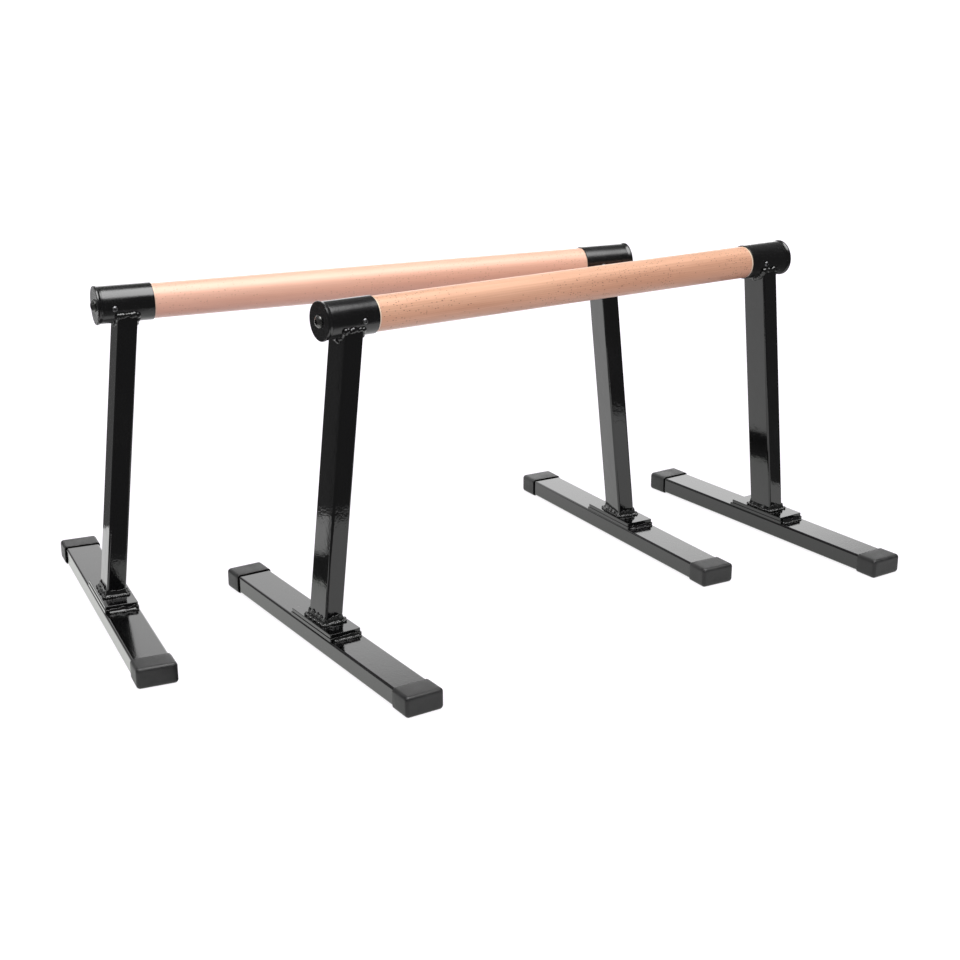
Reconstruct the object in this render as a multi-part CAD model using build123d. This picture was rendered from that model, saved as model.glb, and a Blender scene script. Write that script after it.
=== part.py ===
from build123d import *
import math
import os

# A pair of low gymnastics parallel bars: two separate, identical floor stands, near and far.
# Millimetres, +Z up. A stand is built about its own centre, with its bar along X, its feet along Y
# and the floor at Z = 0. The near stand stays square to the axes and the far one is set down beside
# it, a little askew. At the end the pair is moved so that the origin is under the middle of the pair.

# Bar and sleeves
BAR_HEIGHT = 447.0
BAR_DIAMETER = 47.6
SLEEVE_OUTER_DIAMETER = 50.8
SLEEVE_BORE = 48.0
SLEEVE_OUTER_END = 399.0
SLEEVE_INNER_END = 329.0
SLEEVE_EDGE_ROUND = 0.5

# Sleeve caps: a lip, a cove down to the sleeve, and a spigot inside the sleeve
CAP_FACE = 406.0
CAP_LIP_DIAMETER = 53.0
CAP_LIP_THICKNESS = 2.6
CAP_EDGE_BEVEL = 0.7
CAP_COVE_MIDDLE = (0.28, 0.10)  # of the cove's length and rise, from the sleeve
CAP_SPIGOT_DIAMETER = 47.8
CAP_SPIGOT_LENGTH = 10.0
CAP_BOLT_CLEARANCE = 11.0
CAP_TO_BAR_GAP = 0.5

# Button heads of the bolts and screws, as fractions of a head's diameter or height
HEAD_FLAT_RADIUS = 1 / 6
HEAD_RIM_HEIGHT = 0.12
HEAD_SHOULDER_RADIUS = 0.38
HEAD_SHOULDER_HEIGHT = 0.66

# Cap bolt, M10 button head, and its threaded insert in the bar's end
BOLT_DIAMETER = 10.0
BOLT_LENGTH = 35.0
BOLT_HEAD_DIAMETER = 17.5
BOLT_HEAD_HEIGHT = 4.8
BOLT_SOCKET_ACROSS_FLATS = 6.0
BOLT_SOCKET_DEPTH = 2.8
INSERT_DIAMETER = 14.0
INSERT_LENGTH = 20.0
INSERT_BORE_RUNOUT = 3.0

# Side screws, M5 button head, through the front of the sleeve into the bar
SCREW_DIAMETER = 4.8
SCREW_CLEARANCE = 5.5
SCREW_LENGTH = 17.0
SCREW_HEAD_DIAMETER = 8.0
SCREW_HEAD_HEIGHT = 2.3
SCREW_SOCKET_ACROSS_FLATS = 3.0
SCREW_SOCKET_DEPTH = 1.6
SCREW_SEAT_SKIRT = 0.6
SCREW_TILT = 4.0
SCREW_FROM_CENTRE = {"near_left": 352.0, "near_right": 355.3, "far_left": 383.4, "far_right": 355.3}

# Posts, rectangular tube splayed outwards towards the floor
POST_SIZE_X = 27.0
POST_SIZE_Y = 46.0
POST_WALL = 2.0
POST_CORNER_RADIUS = 3.0
POST_TOP_CENTRE = 367.3
POST_BOTTOM_CENTRE = 410.3

# Feet: rectangular tube laid flat in rubber caps that lift it off the floor
FOOT_WIDTH = 50.0
FOOT_HEIGHT = 25.0
FOOT_LENGTH = 516.0
FOOT_WALL = 2.0
FOOT_CORNER_RADIUS = 3.0
FOOT_CAP_WIDTH = 55.0
FOOT_CAP_HEIGHT = 29.0
FOOT_CAP_LENGTH = 36.0
FOOT_CAP_END_WALL = 3.0
FOOT_CAP_EDGE_ROUND = 4.5
FOOT_LIFT = (FOOT_CAP_HEIGHT - FOOT_HEIGHT) / 2

# Degrees by which a foot and its plate are welded on out of square, about the middle of the post's foot
FOOT_TURN = {"near_left": 1.0, "near_right": 0.0, "far_left": 0.0, "far_right": 5.2}

# Plates between post and foot: a foot plate on the foot tube, and a base plate on top of it
FOOT_PLATE_WIDTH = 48.0
FOOT_PLATE_LENGTH = 116.0
FOOT_PLATE_THICKNESS = 4.5
BASE_PLATE_WIDTH = 46.0
BASE_PLATE_LENGTH = 112.0
BASE_PLATE_THICKNESS = 5.0
PLATE_CORNER_RADIUS = 1.5
PLATE_EDGE_ROUND = 0.6

# Weld beads
SLEEVE_BEAD_RADIUS = 4.0
POST_BEAD_RADIUS = 7.0
PLATE_BEAD_RADIUS = 7.0
PLATE_BEAD_SINK = 1.0
PLATE_BEAD_LENGTH = 45.0

# Where the far stand is set down beside the near one
FAR_STAND_X = -208.4
FAR_STAND_Y = 185.0
FAR_STAND_YAW = -9.9

# Sizes that follow from the ones above
SLEEVE_RADIUS = SLEEVE_OUTER_DIAMETER / 2
FOOT_TOP = FOOT_LIFT + FOOT_HEIGHT
FOOT_PLATE_TOP = FOOT_TOP + FOOT_PLATE_THICKNESS
PLATE_TOP = FOOT_PLATE_TOP + BASE_PLATE_THICKNESS
POST_TOP = BAR_HEIGHT - SLEEVE_RADIUS
BAR_END = SLEEVE_OUTER_END - CAP_SPIGOT_LENGTH - CAP_TO_BAR_GAP
SEAM_DROP = math.sqrt(SLEEVE_RADIUS**2 - (POST_SIZE_Y / 2) ** 2)
SEAM_HEIGHT = BAR_HEIGHT - SEAM_DROP
SPLAY = (POST_BOTTOM_CENTRE - POST_TOP_CENTRE) / (POST_TOP - PLATE_TOP)

# Overlengths of the shapes that trim others
POST_OVERRUN = 40.0
SLEEVE_OVERRUN = 30.0
SLAB_WIDTH = 300.0


def along_x(diameter, start, end, height=BAR_HEIGHT, y=0.0):
    """Round rod along X."""
    middle = (start + end) / 2
    return Pos(middle, y, height) * Rot(0, 90, 0) * Cylinder(diameter / 2, end - start)


def along_y(radius, start, end, x, height):
    """Round rod along Y."""
    middle = (start + end) / 2
    return Pos(x, middle, height) * Rot(90, 0, 0) * Cylinder(radius, end - start)


def slab(low, high):
    """Wide block between two heights, for trimming what stands round a post."""
    return Pos(POST_TOP_CENTRE, 0, (low + high) / 2) * Box(SLAB_WIDTH, SLAB_WIDTH, high - low)


def hex_recess(across_flats, depth):
    """Hexagonal socket that is cut down from Z = 0."""
    outline = RegularPolygon(across_flats / 2, 6, major_radius=False)
    return extrude(outline, amount=-depth)


def button_head(diameter, height):
    """Domed screw head that stands on Z = 0, with a flat top a third of its width."""
    edge = diameter / 2
    flat = diameter * HEAD_FLAT_RADIUS
    rim = height * HEAD_RIM_HEIGHT
    shoulder = (diameter * HEAD_SHOULDER_RADIUS, 0, height * HEAD_SHOULDER_HEIGHT)
    side = Polyline((0, 0, 0), (edge, 0, 0), (edge, 0, rim))
    dome = ThreePointArc((edge, 0, rim), shoulder, (flat, 0, height))
    top = Polyline((flat, 0, height), (0, 0, height), (0, 0, 0))
    return revolve(make_face(side + dome + top), axis=Axis.Z)


def socket_screw(diameter, length, head_diameter, head_height, across_flats, socket_depth):
    """Button-head screw with its seat at Z = 0 and its shank along -Z."""
    shank = Pos(0, 0, -length / 2) * Cylinder(diameter / 2, length)
    head = button_head(head_diameter, head_height)
    recess = Pos(0, 0, head_height) * hex_recess(across_flats, socket_depth)
    return shank + head - recess


def sleeve_blank():
    """Outside of the sleeve as a solid rod."""
    return along_x(SLEEVE_OUTER_DIAMETER, SLEEVE_INNER_END, SLEEVE_OUTER_END)


def sleeve(screw_x):
    """Steel tube that holds one end of the bar."""
    rod = sleeve_blank()
    ends = rod.edges().filter_by(GeomType.CIRCLE)
    bore = along_x(SLEEVE_BORE, SLEEVE_INNER_END, SLEEVE_OUTER_END)
    screw_hole = at_side_screw(Cylinder(SCREW_CLEARANCE / 2, SLEEVE_RADIUS), screw_x)
    return fillet(ends, SLEEVE_EDGE_ROUND) - bore - screw_hole


def sleeve_cap():
    """Turned end cap: lip, cove down to the sleeve, and a spigot that plugs the sleeve."""
    lip = CAP_LIP_DIAMETER / 2
    lip_back = CAP_FACE - CAP_LIP_THICKNESS
    spigot_end = SLEEVE_OUTER_END - CAP_SPIGOT_LENGTH
    hole = CAP_BOLT_CLEARANCE / 2
    spigot = CAP_SPIGOT_DIAMETER / 2
    front = Polyline(
        (CAP_FACE, 0, hole),
        (CAP_FACE, 0, lip - CAP_EDGE_BEVEL),
        (CAP_FACE - CAP_EDGE_BEVEL, 0, lip),
        (lip_back, 0, lip),
    )
    along, up = CAP_COVE_MIDDLE
    cove_x = SLEEVE_OUTER_END + along * (lip_back - SLEEVE_OUTER_END)
    cove_radius = SLEEVE_RADIUS + up * (lip - SLEEVE_RADIUS)
    cove = ThreePointArc((lip_back, 0, lip), (cove_x, 0, cove_radius), (SLEEVE_OUTER_END, 0, SLEEVE_RADIUS))
    back = Polyline(
        (SLEEVE_OUTER_END, 0, SLEEVE_RADIUS),
        (SLEEVE_OUTER_END, 0, spigot),
        (spigot_end, 0, spigot),
        (spigot_end, 0, hole),
        (CAP_FACE, 0, hole),
    )
    return Pos(0, 0, BAR_HEIGHT) * revolve(make_face(front + cove + back), axis=Axis.X)


def cap_bolt():
    """Button-head bolt through the cap into the bar's insert."""
    bolt = socket_screw(
        BOLT_DIAMETER,
        BOLT_LENGTH,
        BOLT_HEAD_DIAMETER,
        BOLT_HEAD_HEIGHT,
        BOLT_SOCKET_ACROSS_FLATS,
        BOLT_SOCKET_DEPTH,
    )
    return Pos(CAP_FACE, 0, BAR_HEIGHT) * Rot(0, 90, 0) * bolt


def bar_insert():
    """Threaded insert in the bar's end grain."""
    start = BAR_END - INSERT_LENGTH
    return along_x(INSERT_DIAMETER, start, BAR_END) - along_x(BOLT_DIAMETER, start, BAR_END)


def at_side_screw(shape, screw_x):
    """Turn a shape from +Z to the side screw's direction and put it on the sleeve's front."""
    seat = Pos(0, -SLEEVE_RADIUS, 0) * Rot(90, 0, 0)
    return Pos(screw_x, 0, BAR_HEIGHT) * Rot(SCREW_TILT, 0, 0) * seat * shape


def side_screw(screw_x):
    """Small button-head screw through the sleeve, its head bedded on the round of the sleeve."""
    skirt = SCREW_SEAT_SKIRT
    screw = socket_screw(
        SCREW_DIAMETER,
        SCREW_LENGTH,
        SCREW_HEAD_DIAMETER,
        SCREW_HEAD_HEIGHT,
        SCREW_SOCKET_ACROSS_FLATS,
        SCREW_SOCKET_DEPTH,
    )
    skirted = screw + Pos(0, 0, -skirt / 2) * Cylinder(SCREW_HEAD_DIAMETER / 2, skirt)
    sleeve_rod = Pos(0, 0, -SLEEVE_RADIUS) * Rot(0, 90, 0) * Cylinder(SLEEVE_RADIUS, 2 * SCREW_HEAD_DIAMETER)
    shank = Pos(0, 0, -SCREW_LENGTH / 2) * Cylinder(SCREW_DIAMETER / 2, SCREW_LENGTH)
    return at_side_screw(skirted - sleeve_rod + shank, screw_x)


def post_prism(inset=0.0):
    """Solid prism along the splayed post, longer than the post at both ends."""
    bottom = Vector(POST_BOTTOM_CENTRE, 0, PLATE_TOP)
    top = Vector(POST_TOP_CENTRE, 0, POST_TOP)
    direction = (top - bottom).normalized()
    length = (top - bottom).length + 2 * POST_OVERRUN
    section_plane = Plane(origin=bottom - direction * POST_OVERRUN, x_dir=(0, 1, 0), z_dir=direction)
    corner = POST_CORNER_RADIUS - inset / 2
    section = RectangleRounded(POST_SIZE_Y - 2 * inset, POST_SIZE_X - 2 * inset, corner)
    return extrude(section_plane * section, amount=length)


def post():
    """Splayed rectangular tube, flat on the plate and coped to the sleeve."""
    tube = post_prism() - post_prism(POST_WALL)
    rod_ends = (SLEEVE_INNER_END - SLEEVE_OVERRUN, SLEEVE_OUTER_END + SLEEVE_OVERRUN)
    sleeve_rod = along_x(SLEEVE_OUTER_DIAMETER, *rod_ends)
    return (tube & slab(PLATE_TOP, BAR_HEIGHT)) - sleeve_rod


def sleeve_weld():
    """Weld bead round the coped top of the post."""
    middle = POST_TOP_CENTRE - SPLAY * (SEAM_HEIGHT - POST_TOP) / 2
    half_y = POST_SIZE_Y / 2
    wrap = math.degrees(math.asin(half_y / SLEEVE_RADIUS))
    beads = []
    for side in (-1, 1):
        x = middle + side * POST_SIZE_X / 2
        profile = Plane(origin=(x, 0, -SLEEVE_RADIUS), z_dir=(0, 1, 0)) * Circle(SLEEVE_BEAD_RADIUS)
        arc = revolve(profile, axis=Axis.X, revolution_arc=2 * wrap)
        beads.append(Pos(0, 0, BAR_HEIGHT) * Rot(-wrap, 0, 0) * arc)
        seam_ends = (middle - POST_SIZE_X / 2, middle + POST_SIZE_X / 2)
        beads.append(along_x(2 * SLEEVE_BEAD_RADIUS, *seam_ends, SEAM_HEIGHT, side * half_y))
        for corner_x in seam_ends:
            beads.append(Pos(corner_x, side * half_y, SEAM_HEIGHT) * Sphere(SLEEVE_BEAD_RADIUS))
    return Part() + beads - sleeve_blank() - post_prism()


def post_weld():
    """Weld bead all round the foot of the post, on the base plate."""
    half_y = POST_SIZE_Y / 2
    inner = POST_BOTTOM_CENTRE - POST_SIZE_X / 2
    outer = POST_BOTTOM_CENTRE + POST_SIZE_X / 2
    beads = []
    for side, x in ((-1, inner), (1, outer)):
        beads.append(along_y(POST_BEAD_RADIUS, -half_y, half_y, x, PLATE_TOP))
        beads.append(along_x(2 * POST_BEAD_RADIUS, inner, outer, PLATE_TOP, side * half_y))
        for corner_y in (-half_y, half_y):
            beads.append(Pos(x, corner_y, PLATE_TOP) * Sphere(POST_BEAD_RADIUS))
    return ((Part() + beads) & slab(PLATE_TOP, BAR_HEIGHT)) - post_prism()


def flat_plate(width, length, thickness, bottom):
    """Plate under the post, with its top edges eased."""
    blank = Box(width, length, thickness)
    plate = fillet(blank.edges().filter_by(Axis.Z), PLATE_CORNER_RADIUS)
    plate = fillet(plate.faces().sort_by(Axis.Z)[-1].edges(), PLATE_EDGE_ROUND)
    return Pos(POST_BOTTOM_CENTRE, 0, bottom + thickness / 2) * plate


def foot_plate():
    """Lower plate, on top of the foot tube."""
    return flat_plate(FOOT_PLATE_WIDTH, FOOT_PLATE_LENGTH, FOOT_PLATE_THICKNESS, FOOT_TOP)


def base_plate():
    """Upper plate, which the post stands on."""
    return flat_plate(BASE_PLATE_WIDTH, BASE_PLATE_LENGTH, BASE_PLATE_THICKNESS, FOOT_PLATE_TOP)


def plate_welds():
    """Weld beads that join the front and rear ends of both plates to the top of the foot."""
    reach = FOOT_PLATE_LENGTH / 2
    start = POST_BOTTOM_CENTRE - PLATE_BEAD_LENGTH / 2
    end = POST_BOTTOM_CENTRE + PLATE_BEAD_LENGTH / 2
    height = FOOT_TOP - PLATE_BEAD_SINK
    beads = [along_x(2 * PLATE_BEAD_RADIUS, start, end, height, side * reach) for side in (-1, 1)]
    return ((Part() + beads) & slab(FOOT_TOP, BAR_HEIGHT)) - foot_plate() - base_plate()


def foot_section(inset=0.0):
    """Rounded rectangle of the foot tube, in the XZ plane."""
    middle = Plane(origin=(POST_BOTTOM_CENTRE, 0, FOOT_CAP_HEIGHT / 2), x_dir=(1, 0, 0), z_dir=(0, 1, 0))
    corner = FOOT_CORNER_RADIUS - inset / 2
    return middle * RectangleRounded(FOOT_WIDTH - 2 * inset, FOOT_HEIGHT - 2 * inset, corner)


def foot_tube():
    """Rectangular tube that lies across the stand."""
    wall = foot_section() - foot_section(FOOT_WALL)
    return extrude(wall, amount=FOOT_LENGTH / 2, both=True)


def foot_cap(side):
    """Rubber boot on one end of the foot tube; side is -1 at the front and +1 at the rear."""
    end = FOOT_LENGTH / 2 + FOOT_CAP_END_WALL
    middle = side * (end - FOOT_CAP_LENGTH / 2)
    block = Box(FOOT_CAP_WIDTH, FOOT_CAP_LENGTH, FOOT_CAP_HEIGHT)
    outer_end = block.faces().sort_by(Axis.Y)[-1 if side > 0 else 0]
    rounded = fillet(block.edges().filter_by(Axis.Y) + outer_end.edges(), FOOT_CAP_EDGE_ROUND)
    tube_space = extrude(foot_section(), amount=FOOT_LENGTH / 2, both=True)
    return Pos(POST_BOTTOM_CENTRE, middle, FOOT_CAP_HEIGHT / 2) * rounded - tube_space


def foot_pieces(turn):
    """The foot and what is welded or pushed on to it, turned about the middle of the post's foot."""
    pieces = {
        "base_plate": base_plate(),
        "foot_plate": foot_plate(),
        "plate_welds": plate_welds(),
        "foot_tube": foot_tube(),
        "front_foot_cap": foot_cap(-1),
        "rear_foot_cap": foot_cap(1),
    }
    turning = Pos(POST_BOTTOM_CENTRE, 0, 0) * Rot(0, 0, turn) * Pos(-POST_BOTTOM_CENTRE, 0, 0)
    return {piece: solid.moved(turning) for piece, solid in pieces.items()}


def stand_end(screw_x, foot_turn):
    """Every piece at the +X end of a stand."""
    return {
        "sleeve": sleeve(screw_x),
        "sleeve_cap": sleeve_cap(),
        "cap_bolt": cap_bolt(),
        "bar_insert": bar_insert(),
        "side_screw": side_screw(screw_x),
        "post": post(),
        "sleeve_weld": sleeve_weld(),
        "post_weld": post_weld(),
        **foot_pieces(foot_turn),
    }


def bar_end_holes(screw_x):
    """What is bored out of the bar at its +X end."""
    insert_hole = along_x(INSERT_DIAMETER, BAR_END - INSERT_LENGTH, BAR_END)
    runout = along_x(BOLT_DIAMETER, BAR_END - INSERT_LENGTH - INSERT_BORE_RUNOUT, BAR_END)
    pilot = at_side_screw(Pos(0, 0, -SCREW_LENGTH / 2) * Cylinder(SCREW_DIAMETER / 2, SCREW_LENGTH), screw_x)
    return insert_hole + runout + pilot


def stand(name):
    """Every piece of one stand, as node name to solid."""
    pieces = {}
    bar = along_x(BAR_DIAMETER, -BAR_END, BAR_END)
    for side in ("right", "left"):
        screw_x = SCREW_FROM_CENTRE[f"{name}_{side}"]
        holes = bar_end_holes(screw_x)
        end = stand_end(screw_x, FOOT_TURN[f"{name}_{side}"])
        if side == "left":
            holes = mirror(holes, about=Plane.YZ)
            end = {piece: mirror(solid, about=Plane.YZ) for piece, solid in end.items()}
        bar = bar - holes
        for piece, solid in end.items():
            pieces[f"{name}_{side}_{piece}"] = solid
    pieces[f"{name}_bar"] = bar
    return pieces


def pair():
    """Both stands in place, with the origin on the floor under the middle of the pair."""
    pieces = stand("near")
    far_place = Location((FAR_STAND_X, FAR_STAND_Y, 0), (0, 0, FAR_STAND_YAW))
    for node, solid in stand("far").items():
        pieces[node] = solid.moved(far_place)
    everything = Compound([solid for piece in pieces.values() for solid in piece.solids()])
    middle = everything.bounding_box().center()
    to_origin = Location((-middle.X, -middle.Y, 0))
    return {node: solid.moved(to_origin) for node, solid in pieces.items()}


os.makedirs("parts", exist_ok=True)
for node, solid in pair().items():
    export_step(solid, f"parts/{node}.step")
    print(f"{node:32s} {len(solid.solids())} solid(s) {solid.volume:12.1f} mm3")
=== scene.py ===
import math
import random

import bmesh
import bpy
from mathutils import Matrix, Vector, noise


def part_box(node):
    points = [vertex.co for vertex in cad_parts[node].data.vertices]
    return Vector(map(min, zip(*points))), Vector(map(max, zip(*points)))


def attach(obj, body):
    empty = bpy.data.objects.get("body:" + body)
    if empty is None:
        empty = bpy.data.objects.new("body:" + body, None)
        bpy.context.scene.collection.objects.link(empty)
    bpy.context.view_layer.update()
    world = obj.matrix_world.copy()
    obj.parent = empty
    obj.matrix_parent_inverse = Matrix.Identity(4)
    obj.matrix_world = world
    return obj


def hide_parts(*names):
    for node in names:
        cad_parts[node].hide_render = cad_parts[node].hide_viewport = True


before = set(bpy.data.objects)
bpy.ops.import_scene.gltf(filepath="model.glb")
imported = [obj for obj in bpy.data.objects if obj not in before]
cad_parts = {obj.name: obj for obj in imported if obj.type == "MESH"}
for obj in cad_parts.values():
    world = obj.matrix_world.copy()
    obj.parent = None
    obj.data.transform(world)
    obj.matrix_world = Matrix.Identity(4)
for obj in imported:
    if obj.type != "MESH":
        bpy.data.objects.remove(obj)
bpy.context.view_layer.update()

# A pair of low gymnastics parallel bars on a white studio floor. Metres, +Z up, in the frame of the CAD
# model. A piece that is built here is built in its own stand's coordinates: origin on the floor under
# the middle of the bar, X along the bar towards its right end, Y to the rear.

# Camera, measured from the floor under the middle of the near bar
CAMERA_OFFSET = Vector((-1.3624, -1.7735, 0.8963))
CAMERA_YAW = math.radians(-34.22)
CAMERA_PITCH = math.radians(-18.31)
CAMERA_LENS = 59.77

# Floor. Its purple tint gives the bars their pink undersides, and the gloss tint keeps that cast out of the
# paint's reflections. The two glows are added for camera rays and for glossy rays.
FLOOR_HALF = 60.0
FLOOR_TINT = (0.300, 0.258, 0.322, 1)
FLOOR_GLOSS_TINT = (1.000, 1.059, 0.969, 1)
FLOOR_CAMERA_GLOW = 0.82
FLOOR_GLOSS_GLOW = 1.03

# White dome that gives the diffuse light, and the plain white that the camera sees
DOME_HORIZON = 1.15
DOME_ZENITH = 1.60
CAMERA_WHITE = (1.3, 1.3, 1.3, 1)

# Dim room and soft box that the gloss reflects. The box leans to the front. BOX_EDGE is the cosine of the
# angle from its middle, over which it fades in. To the right it dims to BOX_SIDE_GLOW of its glow.
ROOM_FRONT = 0.16
ROOM_REAR = 0.42
ROOM_SPAN = (-0.3, 1.0)
BOX_GLOW = 9.5
BOX_LEAN = math.radians(14.0)
BOX_EDGE = (0.83, 0.93)
BOX_SIDE = (0.36, 0.60)
BOX_SIDE_GLOW = 0.2

# Bright rear sweep that only the gloss sees. Its place is measured from the floor under the middle of the
# near bar, its fades in the CAD model's frame.
SWEEP_GLOW = 1.6
SWEEP_RIGHT_GAIN = 1.6
SWEEP_TOP_SHARE = 0.12
SWEEP_LEFT = -0.56
SWEEP_REAR = 1.45
SWEEP_HEIGHT = 1.3
SWEEP_FADE_Z = (0.80, 1.25)
SWEEP_FADE_X = (-0.4, 1.2)

# Outline of the lit floor paper that the gloss sees, from the same place. Beyond it lie dark cards, just
# above the floor.
DARK_GLOW = 0.16
CARD_LIFT = 0.0006
PAPER_LEFT = ((-0.94, -0.12), (-0.92, 0.66), (-0.58, 0.70), (SWEEP_LEFT, FLOOR_HALF))
PAPER_FRONT = (
    (-0.94, -0.12), (-0.66, -0.12), (-0.63, 0.00), (-0.52, 0.00), (-0.48, -0.48),
    (-0.10, -0.48), (0.42, -0.62), (0.58, -0.21), (0.66, 0.20), (0.70, SWEEP_REAR),
)

MM = 0.001

# Seed of the uneven welds
SEED = 7


# ---------------------------------------------------------------------------------------------------
# Shader helpers
# ---------------------------------------------------------------------------------------------------

class Nodes:
    """Small wrapper that makes and joins the nodes of one material or world."""

    def __init__(self, tree):
        self.tree = tree
        tree.nodes.clear()

    def add(self, kind, settings=None, **inputs):
        node = self.tree.nodes.new(kind)
        for name, value in (settings or {}).items():
            setattr(node, name, value)
        for name, value in inputs.items():
            self.feed(node.inputs[name.replace("_", " ")], value)
        return node

    def feed(self, socket, value):
        if isinstance(value, bpy.types.NodeSocket):
            self.tree.links.new(value, socket)
        else:
            socket.default_value = value

    def math(self, operation, *values):
        node = self.add("ShaderNodeMath", {"operation": operation})
        for socket, value in zip(node.inputs, values):
            self.feed(socket, value)
        return node.outputs[0]

    def mix(self, factor, first, second):
        node = self.add("ShaderNodeMix", {"data_type": "RGBA"})
        self.feed(node.inputs["Factor"], factor)
        self.feed(node.inputs[6], first)
        self.feed(node.inputs[7], second)
        return node.outputs[2]

    def map_range(self, value, low, high, to_low, to_high, smooth=False):
        node = self.add("ShaderNodeMapRange", {"interpolation_type": "SMOOTHSTEP" if smooth else "LINEAR"})
        names = ("Value", "From Min", "From Max", "To Min", "To Max")
        for name, item in zip(names, (value, low, high, to_low, to_high)):
            self.feed(node.inputs[name], item)
        return node.outputs["Result"]

    def noise(self, vector, scale, detail, roughness):
        node = self.add("ShaderNodeTexNoise", Vector=vector, Scale=scale, Detail=detail, Roughness=roughness)
        return node.outputs[0]

    def mapping(self, vector, scale=(1, 1, 1), location=(0, 0, 0), rotation=(0, 0, 0), kind="POINT"):
        node = self.add("ShaderNodeMapping", {"vector_type": kind}, Vector=vector)
        node.inputs["Location"].default_value = location
        node.inputs["Rotation"].default_value = rotation
        node.inputs["Scale"].default_value = scale
        return node.outputs[0]

    def bump(self, height, distance, normal=None):
        node = self.add("ShaderNodeBump", Height=height, Distance=distance, Strength=1.0)
        if normal is not None:
            self.feed(node.inputs["Normal"], normal)
        return node.outputs[0]


def new_material(name):
    """A material with its nodes, its shader and the object's own coordinates for its textures."""
    material = bpy.data.materials.new(name)
    material.use_nodes = True
    nodes = Nodes(material.node_tree)
    output = nodes.add("ShaderNodeOutputMaterial")
    shader = nodes.add("ShaderNodeBsdfPrincipled")
    nodes.tree.links.new(shader.outputs[0], output.inputs["Surface"])
    place = nodes.add("ShaderNodeTexCoord").outputs["Object"]
    return material, nodes, shader, place


def set_shader(nodes, shader, **inputs):
    """Set or link the shader's sockets, with underscores for the spaces in their names."""
    for name, value in inputs.items():
        nodes.feed(shader.inputs[name.replace("_", " ")], value)


def set_material(node, material):
    """Give every slot of a CAD node one material."""
    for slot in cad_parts[node].material_slots:
        slot.material = material


# ---------------------------------------------------------------------------------------------------
# Materials
# ---------------------------------------------------------------------------------------------------

def powder_coat(name, waviness=1.0, roughness=0.10):
    """Gloss black powder coat: orange peel, slow waviness and a little dust."""
    material, nodes, shader, place = new_material(name)
    peel = nodes.noise(place, 420.0, 2.0, 0.45)
    wave = nodes.noise(place, 34.0, 2.0, 0.5)
    dust = nodes.noise(place, 1500.0, 3.0, 0.7)
    cloud = nodes.noise(place, 9.0, 3.0, 0.6)
    dusty = nodes.map_range(nodes.math("MULTIPLY", dust, cloud), 0.30, 0.42, 0.0, 1.0)
    base = nodes.mix(dusty, (0.0025, 0.0025, 0.0027, 1), (0.010, 0.010, 0.010, 1))
    rough = nodes.map_range(cloud, 0.3, 0.7, roughness * 0.7, roughness * 1.3)
    normal = nodes.bump(wave, 0.0005 * waviness)
    normal = nodes.bump(peel, 0.00006, normal=normal)
    set_shader(nodes, shader, Base_Color=base, Roughness=rough, IOR=1.5, Normal=normal)
    return material


def weld_metal(name):
    """The same paint, pooled glossier over the weld's ripples."""
    material, nodes, shader, place = new_material(name)
    ripple = nodes.noise(place, 700.0, 3.0, 0.55)
    cloud = nodes.noise(place, 120.0, 2.0, 0.5)
    base = nodes.mix(cloud, (0.002, 0.002, 0.002, 1), (0.006, 0.006, 0.006, 1))
    rough = nodes.map_range(cloud, 0.3, 0.7, 0.04, 0.09)
    set_shader(nodes, shader, Base_Color=base, Roughness=rough, IOR=1.5, Normal=nodes.bump(ripple, 0.00003))
    return material


# Grain of the wood, as cycles per metre along and across the bar
BAND_GRAIN = (1.6, 26, 26)
STREAK_GRAIN = (9, 420, 420)
FIBRE_GRAIN = (60, 2600, 2600)
WARP_GRAIN = (2.2, 14, 14)
FLECK_GRAIN = (230, 560, 560)
CROWD_GRAIN = (9, 22, 22)

# The growth rings run round a pith outside the bar
PITH_SHIFT = (0, 0.031, -0.05)
RING_TURN = 2200.0
RING_WARP = 26.0

# Painted highlight beside each sleeve: a pale band on the wood that stands in for the lit edge where the bar
# enters the sleeve
EDGE_HIGHLIGHT_WIDTH = 2.3 * MM
EDGE_HIGHLIGHT_COLOUR = (0.92, 0.78, 0.60, 1)

# A fleck's colour, as shares of the wood's dark tone
FLECK_STAIN = (0.42, 0.33, 0.28)


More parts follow.
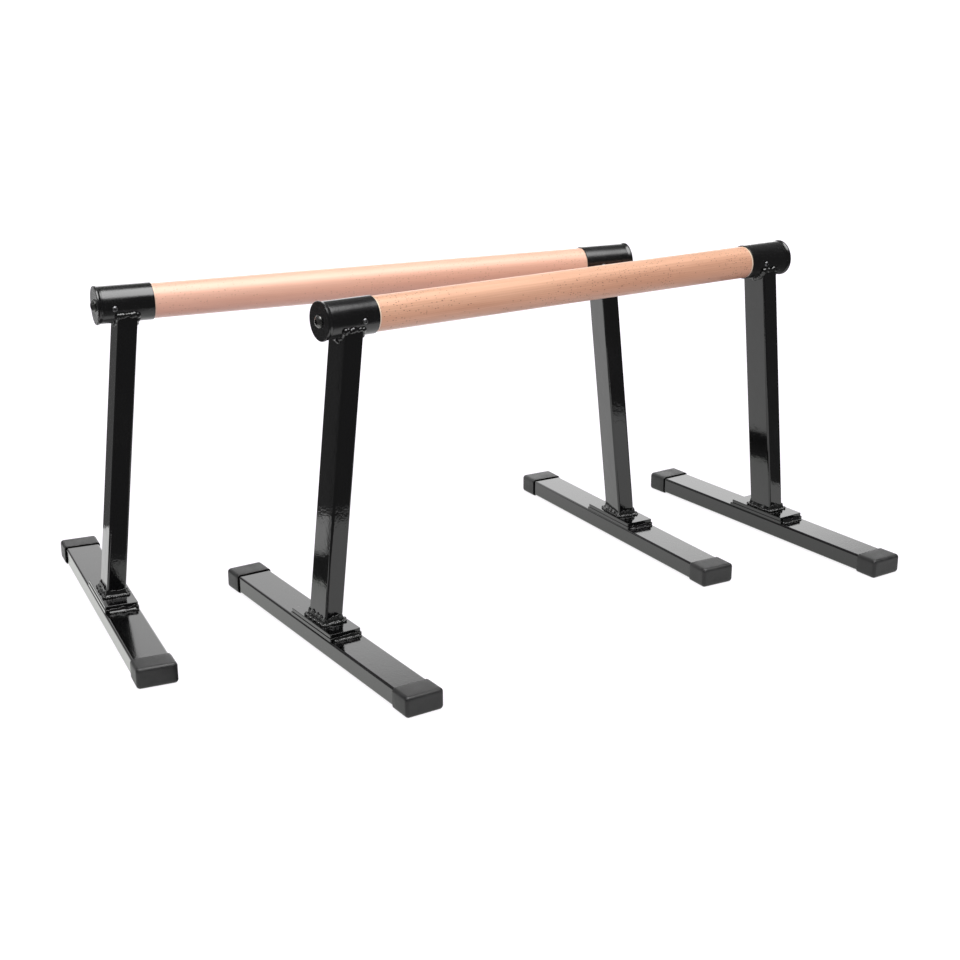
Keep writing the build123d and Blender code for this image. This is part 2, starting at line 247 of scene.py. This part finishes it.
def beech(name, centre, yaw, pale, dark, edge_highlight, flecked):
    """Varnished beech with its grain along the bar, and a painted highlight, a pale band, where the sleeves
    begin.
    """
    material, nodes, shader, place = new_material(name)
    local = nodes.mapping(place, location=centre, rotation=(0, 0, yaw), kind="TEXTURE")
    bands = nodes.noise(nodes.mapping(local, BAND_GRAIN), 1.0, 3.0, 0.5)
    streaks = nodes.noise(nodes.mapping(local, STREAK_GRAIN), 1.0, 3.0, 0.55)
    fibre = nodes.noise(nodes.mapping(local, FIBRE_GRAIN), 1.0, 2.0, 0.6)
    warp = nodes.noise(nodes.mapping(local, WARP_GRAIN), 1.0, 2.0, 0.5)
    pith = nodes.mapping(local, location=PITH_SHIFT)
    split = nodes.add("ShaderNodeSeparateXYZ", Vector=pith)
    across = nodes.math("MULTIPLY", split.outputs["Y"], split.outputs["Y"])
    upward = nodes.math("MULTIPLY", split.outputs["Z"], split.outputs["Z"])
    radius = nodes.math("SQRT", nodes.math("ADD", across, upward))
    turn = nodes.math("MULTIPLY", radius, RING_TURN)
    rings = nodes.math("SINE", nodes.math("ADD", turn, nodes.math("MULTIPLY", warp, RING_WARP)))
    tone = nodes.math("ADD", nodes.math("MULTIPLY", bands, 0.72), nodes.math("MULTIPLY", streaks, 0.24))
    tone = nodes.math("ADD", tone, nodes.math("MULTIPLY", rings, 0.030))
    tone = nodes.math("ADD", tone, nodes.math("MULTIPLY", fibre, 0.10))
    colour = nodes.mix(nodes.map_range(tone, 0.33, 0.75, 0.0, 1.0), (*pale, 1), (*dark, 1))
    flecks = nodes.add(
        "ShaderNodeTexVoronoi", {"feature": "F1"},
        Vector=nodes.mapping(local, FLECK_GRAIN), Scale=1.0, Randomness=1.0,
    )
    chance = nodes.add("ShaderNodeSeparateColor", Color=flecks.outputs["Color"]).outputs[0]
    crowd = nodes.noise(nodes.mapping(local, CROWD_GRAIN), 1.0, 2.0, 0.5)
    picked = nodes.math("GREATER_THAN", chance, nodes.map_range(crowd, 0.42, 0.60, 0.985, 0.58))
    spot = nodes.map_range(flecks.outputs["Distance"], 0.18, 0.36, 1.0, 0.0, smooth=True)
    fleck = nodes.math("MULTIPLY", picked, spot)
    stain = [channel * share for channel, share in zip(dark, FLECK_STAIN)]
    colour = nodes.mix(nodes.math("MULTIPLY", fleck, flecked), colour, (*stain, 1))
    along = nodes.add("ShaderNodeSeparateXYZ", Vector=local).outputs["X"]
    # Painted highlight: a pale band on the wood just beside each sleeve, stronger on the near bar
    at_edge_highlight = nodes.math("GREATER_THAN", nodes.math("ABSOLUTE", along), HALF_BARE - EDGE_HIGHLIGHT_WIDTH)
    colour = nodes.mix(nodes.math("MULTIPLY", at_edge_highlight, edge_highlight), colour, EDGE_HIGHLIGHT_COLOUR)
    relief = nodes.math("SUBTRACT", nodes.math("MULTIPLY", fibre, 0.4), fleck)
    normal = nodes.bump(relief, 0.00005)
    set_shader(
        nodes, shader, Base_Color=colour, Roughness=nodes.map_range(streaks, 0.3, 0.7, 0.42, 0.52),
        Normal=normal, Specular_IOR_Level=0.24, Coat_Weight=1.0, Coat_Roughness=0.42, Coat_IOR=1.5,
    )
    return material


def rubber(name):
    """Matt moulded rubber with fine texture and rubbed patches."""
    material, nodes, shader, place = new_material(name)
    grit = nodes.noise(place, 2400.0, 3.0, 0.65)
    rub = nodes.noise(place, 55.0, 4.0, 0.6)
    rubbed = nodes.map_range(rub, 0.35, 0.7, 0.0, 1.0)
    base = nodes.mix(rubbed, (0.006, 0.006, 0.0065, 1), (0.016, 0.016, 0.016, 1))
    rough = nodes.map_range(rub, 0.3, 0.7, 0.42, 0.56)
    normal = nodes.bump(grit, 0.00008)
    set_shader(nodes, shader, Base_Color=base, Roughness=rough, IOR=1.42, Normal=normal)
    return material


def metal(name, dark, light, rough_low, rough_high):
    """Bare or plated fastener metal with turning marks and stains."""
    material, nodes, shader, place = new_material(name)
    fine = nodes.noise(place, 3000.0, 2.0, 0.6)
    stain = nodes.noise(place, 260.0, 3.0, 0.6)
    base = nodes.mix(stain, (*dark, 1), (*light, 1))
    rough = nodes.map_range(stain, 0.3, 0.7, rough_low, rough_high)
    normal = nodes.bump(fine, 0.00002)
    set_shader(nodes, shader, Base_Color=base, Roughness=rough, Metallic=1.0, Normal=normal)
    return material


# ---------------------------------------------------------------------------------------------------
# Mesh helpers
# ---------------------------------------------------------------------------------------------------

def middle(node):
    """Middle of a CAD node's box."""
    low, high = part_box(node)
    return (low + high) / 2


def stand_frame(stand):
    """Matrix from a stand's own coordinates to the CAD model's frame."""
    left = middle(f"{stand}_left_sleeve")
    right = middle(f"{stand}_right_sleeve")
    along = (right - left).normalized()
    centre = (left + right) / 2
    matrix = Matrix.Rotation(math.atan2(along.y, along.x), 4, "Z")
    matrix.translation = (centre.x, centre.y, 0)
    return matrix


def mirror_for(side_name):
    """Left ends are built as right ends and mirrored."""
    return Matrix.Scale(-1 if side_name == "left" else 1, 4, (1, 0, 0))


def foot_frame(stand, side_name):
    """Matrix from a foot's own coordinates, Y along it and X outwards, to the CAD model's frame."""
    front = middle(f"{stand}_{side_name}_front_foot_cap")
    rear = middle(f"{stand}_{side_name}_rear_foot_cap")
    along = rear - front
    centre = (front + rear) / 2
    turn = math.atan2(along.y, along.x) - math.pi / 2
    place = Matrix.Translation((centre.x, centre.y, 0))
    return place @ Matrix.Rotation(turn, 4, "Z") @ mirror_for(side_name)


def local_box(piece, home):
    """Box of a piece of the near stand's right end, in the coordinates of its stand or its foot."""
    low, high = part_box(f"near_right_{piece}")
    return low - home.translation, high - home.translation


def finish_piece(name, mesh, home, material, node):
    """Place a mesh by its home matrix, and let it ride with its stand in place of a CAD node."""
    mesh.transform(home)
    if home.is_negative:
        mesh.flip_normals()
    obj = bpy.data.objects.new(name, mesh)
    bpy.context.scene.collection.objects.link(obj)
    mesh.materials.clear()
    mesh.materials.append(material)
    for polygon in mesh.polygons:
        polygon.use_smooth = True
    stand = name.split("_")[0]
    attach(obj, f"{stand}_stand")
    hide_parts(node)


def remeshed(mesh, voxel, smoothing):
    """One closed skin round everything in a mesh."""
    obj = bpy.data.objects.new("remesh_work", mesh)
    bpy.context.scene.collection.objects.link(obj)
    remesh = obj.modifiers.new("skin", "REMESH")
    remesh.mode = "VOXEL"
    remesh.voxel_size = voxel
    smooth = obj.modifiers.new("smooth", "SMOOTH")
    smooth.factor = 0.5
    smooth.iterations = smoothing
    graph = bpy.context.evaluated_depsgraph_get()
    result = bpy.data.meshes.new_from_object(obj.evaluated_get(graph))
    bpy.data.objects.remove(obj)
    return result


# ---------------------------------------------------------------------------------------------------
# Welds
# ---------------------------------------------------------------------------------------------------

# Radii of the CAD beads, by which their boxes reach past the walls of the post and the ends of the plates
SLEEVE_BEAD = 4.0 * MM
POST_BEAD = 7.0 * MM
PLATE_BEAD = 7.0 * MM

# Height of the fillets as a share of their width, and how much shorter the plate beads are at each end
POST_BEAD_RISE = 1.55
PLATE_BEAD_RISE = 0.95
PLATE_BEAD_END = 4.0 * MM

# Steps along a seam and round its corners, after how many a lump follows, and how the skin is made
BEAD_STEP = 1.2 * MM
CORNER_STEPS = 5
LUMP_EVERY = 3
BEAD_VOXEL = 0.5 * MM
BEAD_SMOOTHING = 3

# Slow swelling of the beads: depth as a share of their size, cycles per metre, and how far its pattern drifts
SWELL_DEPTH = 0.45
SWELL_CYCLES = 130.0
SWELL_DRIFT = 0.3

# Saddle bead round the top of the post. Its full size is a share of the CAD bead's radius. The radius of a
# lump and of the blobs between, and how far all of them are moved up or down, are shares of that full size.
SADDLE_FULL = 1.15
SADDLE_LUMP = 0.95
SADDLE_PLAIN = 0.66
SADDLE_SHIFT = (-0.45, 0.05)

# Blobs that fill the corner of a fillet weld with a hollow face: (share of the leg out along the plate,
# share of the leg up the wall, radius as a share of the mean leg)
FILLET_BLOBS = (
    (0.12, 0.10, 0.24), (0.40, 0.02, 0.16), (0.66, 0.00, 0.11),
    (0.04, 0.32, 0.17), (0.01, 0.52, 0.13), (0.00, 0.70, 0.10), (0.00, 0.86, 0.07),
)

# A lump on the fillet's face in the same terms, and the random shares of its height and radius
FILLET_LUMP = (0.62, 0.08, 0.24)
LUMP_RISE = (0.5, 1.6)
LUMP_SIZE = (0.85, 1.15)


def blob_mesh(blobs):
    """One skin round many blobs, each a centre and a radius."""
    bm = bmesh.new()
    bmesh.ops.create_icosphere(bm, subdivisions=2, radius=1.0)
    ball_points = [vert.co.copy() for vert in bm.verts]
    ball_faces = [[vert.index for vert in face.verts] for face in bm.faces]
    bm.free()
    points = []
    faces = []
    for centre, radius in blobs:
        start = len(points)
        points.extend(centre + point * radius for point in ball_points)
        faces.extend([start + index for index in face] for face in ball_faces)
    mesh = bpy.data.meshes.new("bead")
    mesh.from_pydata(points, [], faces)
    return remeshed(mesh, BEAD_VOXEL, BEAD_SMOOTHING)


def swell(point):
    """Uneven thickness of weld metal at a point."""
    return 1.0 + SWELL_DEPTH * noise.noise(point * SWELL_CYCLES)


def drawn_drift(draw):
    """Shift of the swelling's pattern that is drawn once for each bead."""
    return Vector((draw.uniform(0, SWELL_DRIFT), 0, 0))


def straight(start, end, out):
    """Stations along a straight seam, each a point and its outward direction."""
    count = max(2, round((end - start).length / BEAD_STEP))
    return [(start.lerp(end, i / count), out) for i in range(count)]


def corner(centre, start_angle):
    """Stations that turn round a corner of the seam."""
    angles = [start_angle + math.pi / 2 * i / CORNER_STEPS for i in range(CORNER_STEPS + 1)]
    return [(centre, Vector((math.cos(a), math.sin(a), 0))) for a in angles]


def loop_stations(x_low, x_high, half_y, height):
    """Seam round a rectangle at one height."""
    rear_right = Vector((x_high, half_y, height))
    rear_left = Vector((x_low, half_y, height))
    front_left = Vector((x_low, -half_y, height))
    front_right = Vector((x_high, -half_y, height))
    stations = straight(front_right, rear_right, Vector((1, 0, 0))) + corner(rear_right, 0)
    stations += straight(rear_right, rear_left, Vector((0, 1, 0))) + corner(rear_left, math.pi / 2)
    stations += straight(rear_left, front_left, Vector((-1, 0, 0))) + corner(front_left, math.pi)
    stations += straight(front_left, front_right, Vector((0, -1, 0))) + corner(front_right, -math.pi / 2)
    return stations


def fillet_blobs(stations, leg_out, leg_up, draw):
    """Weld metal in the corner between a wall and its plate, with a chain of lumps on its face."""
    blobs = []
    mean_leg = (leg_out + leg_up) / 2
    drift = drawn_drift(draw)
    for index, (point, out) in enumerate(stations):
        size = swell(point + drift)
        section = list(FILLET_BLOBS)
        if index % LUMP_EVERY == 0:
            share_out, share_up, share_radius = FILLET_LUMP
            rise = share_up * draw.uniform(*LUMP_RISE)
            section.append((share_out, rise, share_radius * draw.uniform(*LUMP_SIZE)))
        for share_out, share_up, share_radius in section:
            centre = point + out * (leg_out * share_out * size)
            centre.z += leg_up * share_up * size
            blobs.append((centre, share_radius * mean_leg * size))
    return blobs


def saddle_blobs(x_low, x_high, half_y, sleeve_centre, sleeve_radius, bead, draw):
    """Weld metal along the seam of the post on the round of the sleeve: two straights and two arcs."""
    wrap = math.asin(half_y / sleeve_radius)

    def seam(x, angle):
        return Vector((x, sleeve_radius * math.sin(angle), sleeve_centre - sleeve_radius * math.cos(angle)))

    width = x_high - x_low
    arc_steps = round(2 * wrap * sleeve_radius / BEAD_STEP)
    side_steps = round(width / BEAD_STEP)
    points = []
    for x in (x_low, x_high):
        points += [seam(x, wrap * (2 * i / arc_steps - 1)) for i in range(arc_steps + 1)]
    for angle in (-wrap, wrap):
        points += [seam(x_low + width * i / side_steps, angle) for i in range(side_steps + 1)]
    blobs = []
    drift = drawn_drift(draw)
    for index, point in enumerate(points):
        size = SADDLE_LUMP if index % LUMP_EVERY == 0 else SADDLE_PLAIN
        shift = Vector((0, 0, draw.uniform(*SADDLE_SHIFT) * bead))
        blobs.append((point + shift, bead * size * swell(point + drift)))
    return blobs


def finish_weld(name, blobs, home, material, node):
    """Skin the blobs of one bead, in place of its CAD node."""
    finish_piece(name, blob_mesh(blobs), home, material, node)


def build_welds(stand, side_name, draw, material):
    """The lumpy beads of one end, in place of its three CAD welds."""
    node = f"{stand}_{side_name}"
    home = STANDS[stand] @ mirror_for(side_name)
    low, high = local_box("sleeve_weld", STANDS["near"])
    sleeve_low, sleeve_high = local_box("sleeve", STANDS["near"])
    blobs = saddle_blobs(
        low.x + SLEEVE_BEAD, high.x - SLEEVE_BEAD, high.y - SLEEVE_BEAD,
        (sleeve_high.z + sleeve_low.z) / 2, (sleeve_high.z - sleeve_low.z) / 2,
        SLEEVE_BEAD * SADDLE_FULL, draw,
    )
    finish_weld(f"{node}_sleeve_weld_bead", blobs, home, material, f"{node}_sleeve_weld")

    low, high = local_box("post_weld", STANDS["near"])
    stations = loop_stations(low.x + POST_BEAD, high.x - POST_BEAD, high.y - POST_BEAD, low.z)
    blobs = fillet_blobs(stations, POST_BEAD, POST_BEAD * POST_BEAD_RISE, draw)
    finish_weld(f"{node}_post_weld_bead", blobs, home, material, f"{node}_post_weld")

    foot_home = foot_frame(stand, side_name)
    low, high = local_box("plate_welds", foot_frame("near", "right"))
    reach = high.y - PLATE_BEAD
    blobs = []
    for edge in (-1, 1):
        start = Vector((low.x + PLATE_BEAD_END, edge * reach, low.z))
        end = Vector((high.x - PLATE_BEAD_END, edge * reach, low.z))
        stations = straight(start, end, Vector((0, edge, 0)))
        blobs += fillet_blobs(stations, PLATE_BEAD, PLATE_BEAD * PLATE_BEAD_RISE, draw)
    finish_weld(f"{node}_plate_weld_beads", blobs, foot_home, material, f"{node}_plate_welds")


# ---------------------------------------------------------------------------------------------------
# Rubber foot caps
# ---------------------------------------------------------------------------------------------------

CAP_EDGE = 4.8 * MM
CAP_CORNER = 5.2 * MM
CAP_DISH = 0.45 * MM
CAP_LIP = 0.8 * MM
CAP_LIP_LENGTH = 1.2 * CAP_LIP
CAP_WALL = 3.0 * MM
MOUTH_GAP = 1.2 * MM
MOUTH_GROOVE = 3.0 * MM
SOCKET_PLAY = 0.12 * MM
TUBE_CORNER = 3.0 * MM

# Steps round a corner and along an edge of a ring, and from ring to ring over the end's edge and the lip
CORNER_POINTS = 7
EDGE_POINTS = 6
END_ROUND_STEPS = 8
LIP_ROUND_STEPS = 6

# How much the sides of the boot draw in towards the mouth, across and in height
TAPER_X = 0.15 * MM
TAPER_Z = 0.12 * MM
MOUTH_TAPER_X = 0.2 * MM
MOUTH_TAPER_Z = 0.15 * MM


def rounded_ring(half_x, half_z, radius):
    """Points of a rounded rectangle in X and Z, anticlockwise from the right edge."""
    ring = []
    radius = min(radius, half_x * 0.98, half_z * 0.98)
    quarter = math.pi / 2
    centres = [(1, 1, 0), (-1, 1, 1), (-1, -1, 2), (1, -1, 3)]
    for index, (sx, sz, turn) in enumerate(centres):
        cx = sx * (half_x - radius)
        cz = sz * (half_z - radius)
        arc = []
        for i in range(CORNER_POINTS + 1):
            angle = quarter * (turn + i / CORNER_POINTS)
            arc.append((cx + radius * math.cos(angle), cz + radius * math.sin(angle)))
        ring.extend(arc)
        nx, nz, next_turn = centres[(index + 1) % 4]
        start_angle = quarter * next_turn
        next_start = (
            nx * (half_x - radius) + radius * math.cos(start_angle),
            nz * (half_z - radius) + radius * math.sin(start_angle),
        )
        for i in range(1, EDGE_POINTS):
            t = i / EDGE_POINTS
            ring.append(tuple(a * (1 - t) + b * t for a, b in zip(arc[-1], next_start)))
    return ring


def cap_profile(half_x, half_z, length, tube_half_x, tube_half_z):
    """Rings from the middle of the end face, over the outside and the mouth, to the bottom of the socket.

    A ring is (distance from the end face, half width, half height, corner radius).
    """
    rings = []
    for share in (0.08, 0.35, 0.62, 0.80):
        dish = CAP_DISH * (1 - share * share)
        rings.append((dish, (half_x - CAP_EDGE) * share, (half_z - CAP_EDGE) * share, CAP_CORNER * share))
    for step in range(END_ROUND_STEPS + 1):
        angle = math.pi / 2 * step / END_ROUND_STEPS
        out = CAP_EDGE * (1 - math.sin(angle))
        rings.append((CAP_EDGE * (1 - math.cos(angle)), half_x - out, half_z - out, CAP_CORNER - 0.5 * out))
    for share in (0.25, 0.5, 0.7):
        rings.append((length * share, half_x - TAPER_X * share, half_z - TAPER_Z * share, CAP_CORNER))
    for step in range(LIP_ROUND_STEPS + 1):
        angle = math.pi / 2 * step / LIP_ROUND_STEPS
        drop = CAP_LIP * (1 - math.cos(angle))
        rings.append((
            length - CAP_LIP_LENGTH + CAP_LIP_LENGTH * math.sin(angle),
            half_x - MOUTH_TAPER_X - drop,
            half_z - MOUTH_TAPER_Z - drop * (half_z - tube_half_z) / (half_x - tube_half_x),
            CAP_CORNER - 0.4 * drop,
        ))
    mouth = (tube_half_x + MOUTH_GAP, tube_half_z + MOUTH_GAP, TUBE_CORNER + MOUTH_GAP)
    socket = (tube_half_x + SOCKET_PLAY, tube_half_z + SOCKET_PLAY, TUBE_CORNER)
    rings.append((length - 0.1 * MM, *mouth))
    rings.append((length - MOUTH_GROOVE, *mouth))
    rings.append((length - MOUTH_GROOVE, *socket))
    rings.append((length * 0.5, *socket))
    rings.append((CAP_WALL, *socket))
    rings.append((CAP_WALL, tube_half_x * 0.5, tube_half_z * 0.5, TUBE_CORNER * 0.5))
    return rings


def build_foot_cap(stand, side_name, end_name, material):
    """Moulded boot, in place of the CAD foot cap."""
    end = -1 if end_name == "front" else 1
    near_home = foot_frame("near", "right")
    low, high = local_box(f"{end_name}_foot_cap", near_home)
    tube_low, tube_high = local_box("foot_tube", near_home)
    centre_x = (low.x + high.x) / 2
    centre_z = (low.z + high.z) / 2
    face_y = low.y if end < 0 else high.y
    half = (high - low) / 2
    tube_half = (tube_high - tube_low) / 2
    bm = bmesh.new()
    previous = None
    for depth, half_x, half_z, radius in cap_profile(half.x, half.z, 2 * half.y, tube_half.x, tube_half.z):
        ring = [
            bm.verts.new((centre_x + x, face_y - end * depth, centre_z + z))
            for x, z in rounded_ring(half_x, half_z, radius)
        ]
        if previous is None:
            bm.faces.new(ring)
        else:
            for i in range(len(ring)):
                j = (i + 1) % len(ring)
                bm.faces.new((previous[i], previous[j], ring[j], ring[i]))
        previous = ring
    bm.faces.new(previous)
    bmesh.ops.recalc_face_normals(bm, faces=bm.faces)
    mesh = bpy.data.meshes.new("foot_cap")
    bm.to_mesh(mesh)
    bm.free()
    name = f"{stand}_{side_name}_{end_name}_foot_cap"
    finish_piece(f"{name}_boot", mesh, foot_frame(stand, side_name), material, name)


# ---------------------------------------------------------------------------------------------------
# Stage
# ---------------------------------------------------------------------------------------------------

def stage_material(name):
    """A material that is no lamp for the light sampling, with its nodes and its output."""
    material = bpy.data.materials.new(name)
    material.use_nodes = True
    material.cycles.emission_sampling = "NONE"
    nodes = Nodes(material.node_tree)
    return material, nodes, nodes.add("ShaderNodeOutputMaterial")


def emission_material(name, set_glow):
    """Glow of a stage card, whose strength set_glow fills in."""
    material, nodes, output = stage_material(name)
    glow = nodes.add("ShaderNodeEmission")
    nodes.tree.links.new(glow.outputs[0], output.inputs["Surface"])
    set_glow(nodes, glow)
    return material


def floor_material():
    """Paper that takes faint shadows, with a glow of its own for the camera and for reflections."""
    material, nodes, output = stage_material("white_floor")
    paper = nodes.add("ShaderNodeBsdfDiffuse", Color=FLOOR_TINT)
    path = nodes.add("ShaderNodeLightPath")
    camera_glow = nodes.math("MULTIPLY", path.outputs["Is Camera Ray"], FLOOR_CAMERA_GLOW)
    gloss_glow = nodes.math("MULTIPLY", path.outputs["Is Glossy Ray"], FLOOR_GLOSS_GLOW)
    glow_colour = nodes.mix(path.outputs["Is Glossy Ray"], (1, 1, 1, 1), FLOOR_GLOSS_TINT)
    strength = nodes.math("ADD", camera_glow, gloss_glow)
    glow = nodes.add("ShaderNodeEmission", Color=glow_colour, Strength=strength)
    both = nodes.add("ShaderNodeAddShader")
    nodes.tree.links.new(paper.outputs[0], both.inputs[0])
    nodes.tree.links.new(glow.outputs[0], both.inputs[1])
    nodes.tree.links.new(both.outputs[0], output.inputs["Surface"])
    return material


def sheet_object(name, corners, material):
    """Flat stage sheet with the given corners."""
    mesh = bpy.data.meshes.new(name)
    mesh.from_pydata(corners, [], [tuple(range(len(corners)))])
    obj = bpy.data.objects.new(name, mesh)
    bpy.context.scene.collection.objects.link(obj)
    mesh.materials.append(material)
    return obj


def reflection_only(obj):
    """Hide a stage object from all rays but glossy ones."""
    obj.visible_camera = False
    obj.visible_diffuse = False
    obj.visible_transmission = False
    obj.visible_volume_scatter = False
    obj.visible_shadow = False


def dark_glow(nodes, glow):
    """An even, dim card."""
    glow.inputs["Color"].default_value = (1, 1, 1, 1)
    glow.inputs["Strength"].default_value = DARK_GLOW


def sweep_glow(nodes, glow):
    """A card that fades towards the top and brightens towards the right."""
    place = nodes.add("ShaderNodeTexCoord").outputs["Object"]
    split = nodes.add("ShaderNodeSeparateXYZ", Vector=place)
    rise = nodes.map_range(split.outputs["Z"], *SWEEP_FADE_Z, 1.0, SWEEP_TOP_SHARE, smooth=True)
    across = nodes.map_range(split.outputs["X"], *SWEEP_FADE_X, SWEEP_GLOW, SWEEP_GLOW * SWEEP_RIGHT_GAIN)
    nodes.feed(glow.inputs["Strength"], nodes.math("MULTIPLY", rise, across))


def build_stage(origin):
    """White floor, and what the gloss paint sees of the studio: where the paper ends, and its rear sweep."""
    reach = FLOOR_HALF
    floor = [(-reach, -reach, 0), (reach, -reach, 0), (reach, reach, 0), (-reach, reach, 0)]
    sheet_object("floor", floor, floor_material())

    dark_card = emission_material("studio_dark", dark_glow)
    front = [(origin.x + x, origin.y + y, CARD_LIFT) for x, y in PAPER_FRONT]
    left = [(origin.x + x, origin.y + y, CARD_LIFT) for x, y in PAPER_LEFT]
    corners = [
        (-reach, front[0][1], CARD_LIFT), (-reach, -reach, CARD_LIFT),
        (reach, -reach, CARD_LIFT), (reach, front[-1][1], CARD_LIFT),
    ]
    reflection_only(sheet_object("dark_front", corners + front[::-1], dark_card))
    corners = [(-reach, reach, CARD_LIFT), (-reach, left[0][1], CARD_LIFT)]
    reflection_only(sheet_object("dark_left", corners + left, dark_card))

    side = origin.x + SWEEP_LEFT
    rear = origin.y + SWEEP_REAR
    corners = [(side, rear, 0), (reach, rear, 0), (reach, rear, SWEEP_HEIGHT), (side, rear, SWEEP_HEIGHT)]
    bright_card = emission_material("studio_bright", sweep_glow)
    reflection_only(sheet_object("rear_sweep", corners, bright_card))


def build_world():
    """White for the camera, a white dome for diffuse light, and a dim room with a soft box for the gloss."""
    world = bpy.data.worlds.new("studio")
    bpy.context.scene.world = world
    world.use_nodes = True
    nodes = Nodes(world.node_tree)
    output = nodes.add("ShaderNodeOutputWorld")
    path = nodes.add("ShaderNodeLightPath")
    direction = nodes.add("ShaderNodeTexCoord").outputs["Generated"]
    split = nodes.add("ShaderNodeSeparateXYZ", Vector=direction)
    up = split.outputs["Z"]
    rear = split.outputs["Y"]
    dome = nodes.map_range(up, 0.0, 1.0, DOME_HORIZON, DOME_ZENITH)
    upward = nodes.math("MULTIPLY", up, math.cos(BOX_LEAN))
    toward = nodes.math("SUBTRACT", upward, nodes.math("MULTIPLY", rear, math.sin(BOX_LEAN)))
    box = nodes.map_range(toward, *BOX_EDGE, 0.0, BOX_GLOW, smooth=True)
    box_side = nodes.map_range(split.outputs["X"], *BOX_SIDE, 1.0, BOX_SIDE_GLOW, smooth=True)
    room = nodes.map_range(rear, *ROOM_SPAN, ROOM_FRONT, ROOM_REAR)
    gloss = nodes.math("ADD", room, nodes.math("MULTIPLY", box, box_side))
    seen = nodes.mix(path.outputs["Is Glossy Ray"], dome, gloss)
    seen = nodes.mix(path.outputs["Is Camera Ray"], seen, CAMERA_WHITE)
    background = nodes.add("ShaderNodeBackground", Color=seen, Strength=1.0)
    nodes.tree.links.new(background.outputs[0], output.inputs["Surface"])
    world.cycles.sampling_method = "NONE"


def build_camera(origin):
    """Camera as fitted to the photo."""
    data = bpy.data.cameras.new("camera")
    camera = bpy.data.objects.new("camera", data)
    bpy.context.scene.collection.objects.link(camera)
    camera.location = origin + CAMERA_OFFSET
    camera.rotation_euler = (math.pi / 2 + CAMERA_PITCH, 0, CAMERA_YAW)
    data.lens = CAMERA_LENS
    data.sensor_width = 36.0
    data.clip_start = 0.05
    data.clip_end = 500.0
    bpy.context.scene.camera = camera


# ---------------------------------------------------------------------------------------------------
# Put together
# ---------------------------------------------------------------------------------------------------

STANDS = {stand: stand_frame(stand) for stand in ("near", "far")}
NEAR_ORIGIN = STANDS["near"].translation
HALF_BARE = local_box("sleeve", STANDS["near"])[0].x

bpy.context.scene.view_settings.view_transform = "Standard"
build_camera(NEAR_ORIGIN)
build_stage(NEAR_ORIGIN)
build_world()

PAINT = powder_coat("gloss_powder_coat", waviness=0.6, roughness=0.05)
FLAT_PAINT = powder_coat("gloss_powder_coat_on_feet", waviness=0.08)
SOFT_PAINT = powder_coat("gloss_powder_coat_on_sleeves", waviness=0.5, roughness=0.22)
WELD = weld_metal("painted_weld")
RUBBER = rubber("moulded_rubber")
BOLT = metal("blackened_bolt_steel", (0.07, 0.07, 0.068), (0.19, 0.19, 0.185), 0.22, 0.38)
SCREW = metal("zinc_plated_steel", (0.07, 0.07, 0.075), (0.18, 0.18, 0.185), 0.34, 0.50)
BRASS = metal("insert_brass_metal", (0.55, 0.38, 0.14), (0.72, 0.52, 0.22), 0.25, 0.40)

# The wood's tones, and how strong its painted highlight beside the sleeves and its flecks are
WOODS = {
    "near": {"pale": (0.815, 0.470, 0.300), "dark": (0.56, 0.265, 0.150), "edge_highlight": 0.85, "flecked": 0.95},
    "far": {"pale": (0.86, 0.500, 0.365), "dark": (0.74, 0.392, 0.270), "edge_highlight": 0.25, "flecked": 0.50},
}

# CAD nodes of each end that keep their shape and get a material
PLAIN = {
    "sleeve": SOFT_PAINT,
    "sleeve_cap": SOFT_PAINT,
    "post": PAINT,
    "base_plate": FLAT_PAINT,
    "foot_plate": FLAT_PAINT,
    "foot_tube": FLAT_PAINT,
    "cap_bolt": BOLT,
    "side_screw": SCREW,
    "bar_insert": BRASS,
}

DRAW = random.Random(SEED)
for stand, matrix in STANDS.items():
    yaw = matrix.to_euler().z
    wood = beech(f"{stand}_beech", middle(f"{stand}_bar"), yaw, **WOODS[stand])
    set_material(f"{stand}_bar", wood)
    for side_name in ("left", "right"):
        for piece, material in PLAIN.items():
            set_material(f"{stand}_{side_name}_{piece}", material)
        build_welds(stand, side_name, DRAW, WELD)
        for end_name in ("front", "rear"):
            build_foot_cap(stand, side_name, end_name, RUBBER)
